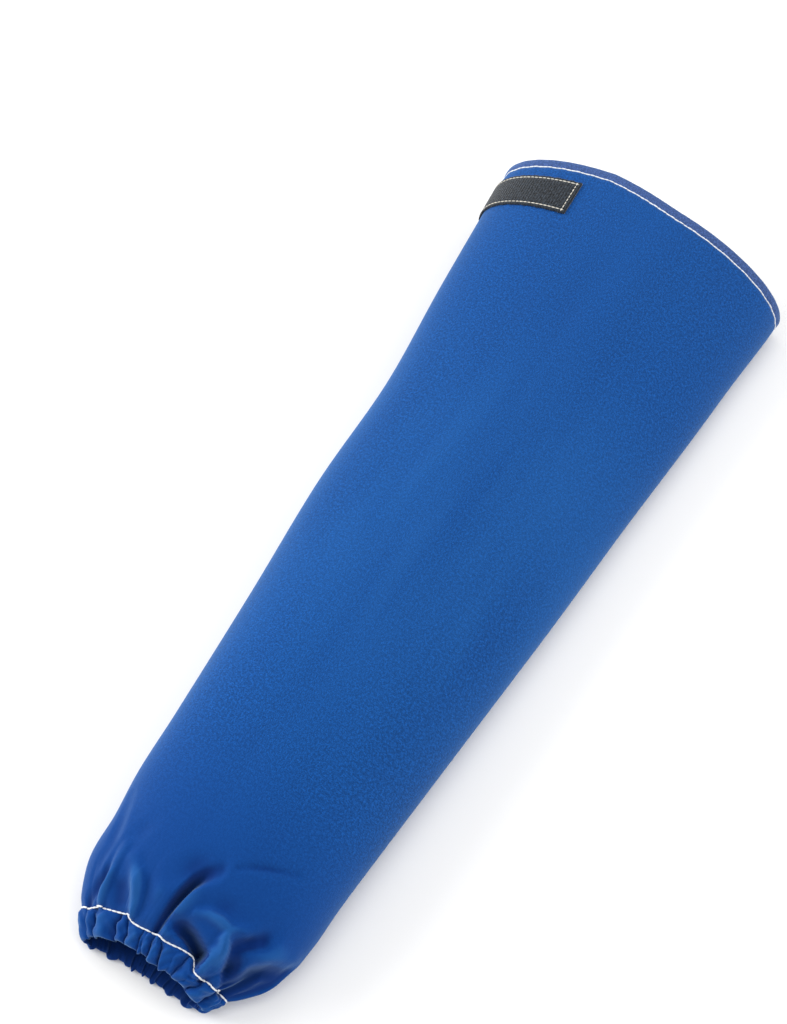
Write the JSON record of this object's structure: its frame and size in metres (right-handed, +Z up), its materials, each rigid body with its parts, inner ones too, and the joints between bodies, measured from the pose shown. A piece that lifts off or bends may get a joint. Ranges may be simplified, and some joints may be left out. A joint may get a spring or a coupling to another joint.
{
  "type": "welding sleeve",
  "caption": "Tapered cotton sleeve for a welder's forearm, with a gathered elastic wrist, a hemmed upper opening and a hook and loop closure, lying flat.",
  "frame": {"origin": "centre of the footprint, on the surface that the sleeve lies on", "axes": "+Y along the sleeve from the wrist towards the upper opening, +Z up from the surface it lies on, +X across it"},
  "size_m": [0.1964, 0.536, 0.0674],
  "materials": {
    "body_cloth": "blue flame-retardant cotton, matt",
    "hem_cloth": "the same cloth, turned in twice and stitched",
    "casing_cloth": "the same cloth, gathered on elastic",
    "loop_tape": "charcoal loop pile",
    "hook_tape": "charcoal hook tape, smooth back"
  },
  "bodies": {
    "root": {"sleeve_body": "body_cloth", "upper_hem": "hem_cloth", "wrist_casing": "casing_cloth", "loop_strip": "loop_tape", "hook_tab": "hook_tape"}
  },
  "joints": []
}
